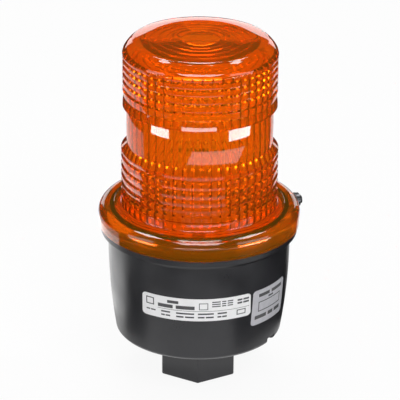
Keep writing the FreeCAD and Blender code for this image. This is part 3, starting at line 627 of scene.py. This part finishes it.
def wound_wire():
    material = new_material("copper_wire", (0.62, 0.25, 0.08), 0.3, Metallic=1.0)
    tree = material.node_tree
    place = tree.nodes.new("ShaderNodeTexCoord")
    turns = tree.nodes.new("ShaderNodeTexWave")
    turns.bands_direction = "Z"
    turns.inputs["Scale"].default_value = 700.0
    tree.links.new(place.outputs["Object"], turns.inputs["Vector"])
    # Painted shade: the copper is darker along the wave's low bands, the grooves between turns, and lighter
    # on their crests
    vary_colour(material, turns, (0.35, 0.12, 0.04), (0.66, 0.28, 0.09))
    add_bump(material, turns.outputs["Fac"], 0.6, 0.0003)
    return material


def hard_glass():
    material = new_material("tube_glass", (0.95, 0.97, 0.97), 0.0, Transmission_Weight=1.0, IOR=1.47)
    vary_roughness(material, noise_of(material, 200.0), 0.0, 0.02)
    return material


def make_materials():
    return {
        "housing_plastic": moulded("housing_plastic", (0.013, 0.013, 0.016), (0.02, 0.02, 0.024), 0.32),
        "amber_lens": amber_plastic(),
        "seal_rubber": moulded("seal_rubber", (0.01, 0.01, 0.01), (0.018, 0.018, 0.018), 0.75, 1500.0, 0.2),
        "washer_nylon": moulded("washer_nylon", (0.02, 0.02, 0.02), (0.03, 0.03, 0.03), 0.5),
        "dark_steel": worked_metal("dark_steel", (0.05, 0.05, 0.055), (0.11, 0.11, 0.115), 0.32),
        "white_label": film("white_label", (0.88, 0.88, 0.89), (0.93, 0.93, 0.94), 0.3, 0.0),
        "silver_label": film("silver_label", (0.58, 0.58, 0.62), (0.66, 0.66, 0.70), 0.35, 0.25),
        "board_laminate": moulded("board_laminate", (0.01, 0.10, 0.035), (0.015, 0.14, 0.05), 0.35, 1200.0),
        "brass": worked_metal("brass", (0.50, 0.33, 0.10), (0.70, 0.50, 0.20), 0.25),
        "deck_plastic": moulded("deck_plastic", (0.78, 0.78, 0.75), (0.84, 0.84, 0.82), 0.4),
        "bright_steel": worked_metal("bright_steel", (0.55, 0.55, 0.56), (0.72, 0.72, 0.73), 0.25),
        "holder_plastic": moulded("holder_plastic", (0.68, 0.65, 0.56), (0.76, 0.73, 0.66), 0.42),
        "tube_glass": hard_glass(),
        "capacitor_sleeve": moulded("capacitor_sleeve", (0.012, 0.016, 0.04), (0.02, 0.026, 0.06), 0.25,
                                    400.0),
        "coil_wrap": moulded("coil_wrap", (0.16, 0.05, 0.015), (0.26, 0.09, 0.03), 0.4, 800.0, 0.3),
        "ferrite": moulded("ferrite", (0.03, 0.03, 0.033), (0.06, 0.06, 0.065), 0.55, 1800.0, 0.4),
        "copper_wire": wound_wire(),
        "sink_aluminium": worked_metal("sink_aluminium", (0.58, 0.59, 0.60), (0.76, 0.77, 0.78), 0.3),
        "component_black": moulded("component_black", (0.014, 0.014, 0.015), (0.024, 0.024, 0.026), 0.45),
        "terminal_plastic": moulded("terminal_plastic", (0.01, 0.18, 0.07), (0.02, 0.24, 0.10), 0.4),
        "ink": moulded("ink", (0.05, 0.05, 0.055), (0.09, 0.09, 0.095), 0.5),
    }


# Pieces

materials = make_materials()
for row in frame["record"]["subparts"]:
    node = frame["nodes"][row["node"]]
    node.data.materials.clear()
    node.data.materials.append(materials[row["material_slot"]])

dome = add_piece("dome_lens", dome_mesh(), "dome", materials["amber_lens"], ("dome",))
drill_lock_hole(dome)
neck_ridge = helix_ridge("neck_thread", NECK_RADIUS - THREAD_SINK, NECK_THREAD_TIP, NECK_PITCH,
                         low=NECK_THREAD_LOW, turns=NECK_THREAD_TURNS, start=NECK_THREAD_START,
                         foot=NECK_FOOT, crest=NECK_CREST, per_turn=NECK_STEPS)
add_piece("neck_thread", neck_ridge, "base", materials["housing_plastic"])
skirt_ridge = helix_ridge("skirt_thread", SKIRT_BORE + THREAD_SINK, SKIRT_THREAD_TIP, NECK_PITCH,
                          low=SKIRT_THREAD_LOW, turns=SKIRT_THREAD_TURNS, start=SKIRT_THREAD_START,
                          foot=NECK_FOOT, crest=NECK_CREST, per_turn=NECK_STEPS)
add_piece("skirt_thread", skirt_ridge, "dome", materials["amber_lens"])
pipe_ridge = helix_ridge("pipe_ridges", PIPE_RADIUS + THREAD_SINK, PIPE_THREAD_TIP, PIPE_PITCH,
                         low=PIPE_THREAD_LOW, turns=PIPE_THREAD_TURNS, start=0.0,
                         foot=PIPE_FOOT, crest=PIPE_CREST, per_turn=PIPE_STEPS)
add_piece("pipe_ridges", pipe_ridge, "base", materials["housing_plastic"])
add_piece("front_print", front_print(), "base", materials["ink"])
add_piece("side_print", side_print(), "base", materials["ink"])


# Stage: a white floor, a dark room and soft boxes

def camera_at(target, distance, elevation, roll, lens):
    data = bpy.data.cameras.new("camera")
    data.lens = lens
    data.sensor_width = 36.0
    data.clip_start = 0.01
    data.clip_end = 20.0
    camera = link_to_scene(bpy.data.objects.new("camera", data))
    back = Vector((0.0, -math.cos(elevation), math.sin(elevation)))
    camera.location = Vector(target) + back * distance
    camera.rotation_euler = (math.pi / 2.0 - elevation, 0.0, 0.0)
    camera.rotation_euler.rotate_axis("Z", roll)
    bpy.context.scene.camera = camera


def white_to_view(tree, output, lit, white):
    """Shows white to camera, glossy and transmission rays, and the lit shader to the rest."""
    path = tree.nodes.new("ShaderNodeLightPath")
    seen = path.outputs["Is Camera Ray"]
    for name in ("Is Glossy Ray", "Is Transmission Ray"):
        most = tree.nodes.new("ShaderNodeMath")
        most.operation = "MAXIMUM"
        tree.links.new(seen, most.inputs[0])
        tree.links.new(path.outputs[name], most.inputs[1])
        seen = most.outputs[0]
    mix = tree.nodes.new("ShaderNodeMixShader")
    tree.links.new(seen, mix.inputs[0])
    tree.links.new(lit, mix.inputs[1])
    tree.links.new(white, mix.inputs[2])
    tree.links.new(mix.outputs[0], output.inputs["Surface"])


def make_world():
    world = bpy.data.worlds.new("studio")
    world.use_nodes = True
    tree = world.node_tree
    lit = tree.nodes["Background"]
    lit.inputs["Color"].default_value = (1.0, 1.0, 1.0, 1.0)
    lit.inputs["Strength"].default_value = AMBIENT
    white = tree.nodes.new("ShaderNodeBackground")
    white.inputs["Color"].default_value = (1.0, 1.0, 1.0, 1.0)
    white.inputs["Strength"].default_value = 1.0
    white_to_view(tree, tree.nodes["World Output"], lit.outputs[0], white.outputs[0])
    bpy.context.scene.world = world


def make_floor():
    mesh = bpy.data.meshes.new("floor")
    reach = 3.0
    corners = [(-reach, -reach, 0.0), (reach, -reach, 0.0), (reach, reach, 0.0), (-reach, reach, 0.0)]
    mesh.from_pydata(corners, [], [(0, 1, 2, 3)])
    material = new_material("floor_white", (0.85, 0.85, 0.85), 0.8)
    tree = material.node_tree
    lit = tree.nodes["Principled BSDF"].outputs[0]
    glow = tree.nodes.new("ShaderNodeEmission")
    glow.inputs["Strength"].default_value = 1.0
    soft = tree.nodes.new("ShaderNodeMixShader")
    soft.inputs[0].default_value = FLOOR_GLOW
    tree.links.new(lit, soft.inputs[1])
    tree.links.new(glow.outputs[0], soft.inputs[2])
    white_to_view(tree, tree.nodes["Material Output"], lit, soft.outputs[0])
    mesh.materials.append(material)
    link_to_scene(bpy.data.objects.new("floor", mesh))


def area_light(name, place, aim, width, height, power):
    data = bpy.data.lights.new(name, "AREA")
    data.shape = "RECTANGLE"
    data.size = width
    data.size_y = height
    data.energy = power
    lamp = link_to_scene(bpy.data.objects.new(name, data))
    lamp.location = place
    lamp.rotation_euler = (Vector(aim) - Vector(place)).to_track_quat("-Z", "Y").to_euler()
    lamp.visible_camera = False
    lamp.visible_glossy = False


def card(name, rows, strength, seen):
    """A glowing or dark card from rows of points, seen in reflections, through the dome or in both."""
    work = bmesh.new()
    grid = [[work.verts.new(point) for point in row] for row in rows]
    for low, high in zip(grid, grid[1:]):
        for k in range(len(low) - 1):
            work.faces.new((low[k], low[k + 1], high[k + 1], high[k]))
    mesh = bpy.data.meshes.new(name)
    work.to_mesh(mesh)
    work.free()
    material = bpy.data.materials.new(name)
    material.use_nodes = True
    tree = material.node_tree
    tree.nodes.remove(tree.nodes["Principled BSDF"])
    glow = tree.nodes.new("ShaderNodeEmission")
    glow.inputs["Strength"].default_value = strength
    tree.links.new(glow.outputs[0], tree.nodes["Material Output"].inputs["Surface"])
    mesh.materials.append(material)
    panel = link_to_scene(bpy.data.objects.new(name, mesh))
    panel.visible_camera = False
    panel.visible_diffuse = False
    panel.visible_glossy, panel.visible_transmission = seen
    panel.visible_volume_scatter = False
    panel.visible_shadow = False


def sky_rows(azimuths, elevations, distance, steps):
    """Rows of points on a sphere round the dome."""
    rows = []
    for row in range(steps + 1):
        up = math.radians(elevations[0] + (elevations[1] - elevations[0]) * row / steps)
        points = []
        for column in range(steps + 1):
            turn = math.radians(azimuths[0] + (azimuths[1] - azimuths[0]) * column / steps)
            flat = distance * math.cos(up)
            height = SKY_CENTRE + distance * math.sin(up)
            points.append((flat * math.sin(turn), -flat * math.cos(turn), height))
        rows.append(points)
    return rows


def ring_rows(inner, outer, lift, steps):
    """A band on the floor between two arcs, each given as a radius and its first and last azimuth."""
    rows = []
    for radius, first, last in (inner, outer):
        turns = [math.radians(first + (last - first) * k / steps) for k in range(steps + 1)]
        rows.append([(radius * math.sin(turn), -radius * math.cos(turn), lift) for turn in turns])
    return rows


def table_rows(band, span, lift, steps):
    """A band on the floor between two radii, over one span of azimuths."""
    return ring_rows((band[0], *span), (band[1], *span), lift, steps)


def level_rows(left, right, near, far, height):
    """A level rectangle."""
    return [[(left, near, height), (right, near, height)], [(left, far, height), (right, far, height)]]


def make_room():
    """A room that is dark in reflections and grey through the dome, with a bright sweep behind."""
    card("room", sky_rows(ALL_ROUND, SKY_SPAN, ROOM_DISTANCE, ROOM_STEPS), DARK, IN_GLOSS)
    room_glass = sky_rows(FRONT_SIDE, SKY_SPAN, ROOM_GLASS_DISTANCE, ROOM_GLASS_STEPS)
    card("room_glass", room_glass, GREY, IN_GLASS)
    card("sweep_back", sky_rows(SWEEP_SPAN, SWEEP_RISE, SWEEP_DISTANCE, SWEEP_STEPS), SWEEP_GLOW, IN_GLOSS)
    card("table_dark", table_rows(TABLE_DARK_BAND, FRONT_SIDE, TABLE_LIFT, TABLE_STEPS), DARK, IN_GLOSS)
    card("table_far", table_rows(TABLE_FAR_BAND, BACK_SIDE, TABLE_LIFT, TABLE_STEPS), DARK, IN_GLOSS)
    table_glass = table_rows(TABLE_GLASS_BAND, TABLE_GLASS_SPAN, TABLE_GLASS_LIFT, TABLE_STEPS)
    card("table_glass", table_glass, TABLE_GLASS_GLOW, IN_GLASS)


def make_fills():
    """Bright parts of the table that the housing, the hexagon and the clear band mirror."""
    for name, band, span, glow in (
        ("fill_left", FILL_LEFT_BAND, FILL_LEFT_SPAN, FILL_LEFT_GLOW),
        ("fill_near", FILL_NEAR_BAND, FILL_NEAR_SPAN, FILL_NEAR_GLOW),
        ("fill_hex", FILL_HEX_BAND, FILL_HEX_SPAN, FILL_HEX_GLOW),
    ):
        card(name, table_rows(band, span, FILL_LIFT, FILL_STEPS), glow, IN_GLOSS)
    fill_front = ring_rows(FILL_FRONT_INNER, FILL_FRONT_OUTER, FILL_LIFT, FILL_STEPS)
    card("fill_front", fill_front, FILL_FRONT_GLOW, IN_BOTH)


def make_boxes():
    """Soft boxes at the sides and in front, and the glints of the side ones in the ribs."""
    for side, span, rise in SIDE_BOXES:
        box = sky_rows(span, rise, BOX_DISTANCE, BOX_STEPS)
        card("box_" + side, box, BOX_GLOW, IN_GLOSS)
        card("glint_" + side, box, GLINT_GLOW, IN_GLASS)
    for side, span, rise in SIDE_BOXES:
        glint = table_rows(GLINT_TABLE_BAND, span, GLINT_TABLE_LIFT, GLINT_TABLE_STEPS)
        card("glint_table_" + side, glint, GLINT_TABLE_GLOW, IN_GLASS)
    box = sky_rows(BOX_FRONT_SPAN, BOX_FRONT_RISE, BOX_DISTANCE, BOX_STEPS)
    card("box_front", box, BOX_FRONT_GLOW, IN_GLOSS)


def make_strips():
    """Strips that draw bright lines along the flange's edge."""
    strip_front = level_rows(left=-0.06, right=0.06, near=-0.17, far=-0.092, height=0.2)
    card("strip_front", strip_front, STRIP_FRONT_GLOW, IN_GLOSS)
    card("strip_left", STRIP_LEFT, STRIP_SIDE_GLOW, IN_GLOSS)
    card("strip_right", STRIP_RIGHT, STRIP_SIDE_GLOW, IN_GLOSS)


def make_panes():
    """Bright panes overhead."""
    for name, left, right, near in PANES:
        card(name, level_rows(left, right, near, PANE_FAR, PANE_HEIGHT), PANE_GLOW, IN_BOTH)


camera_at(CAMERA_TARGET, CAMERA_DISTANCE, math.radians(CAMERA_ELEVATION), math.radians(CAMERA_ROLL),
          CAMERA_LENS)
make_world()
make_floor()
make_room()
make_fills()
make_boxes()
make_strips()
make_panes()
area_light("key", place=(0.3, -0.9, 0.95), aim=(0.0, 0.0, 0.08), width=0.7, height=0.4, power=6.5)
area_light("top", place=(-0.1, 0.5, 1.2), aim=(0.0, 0.0, 0.1), width=0.6, height=0.6, power=5.0)

bpy.context.scene.view_settings.view_transform = "Standard"
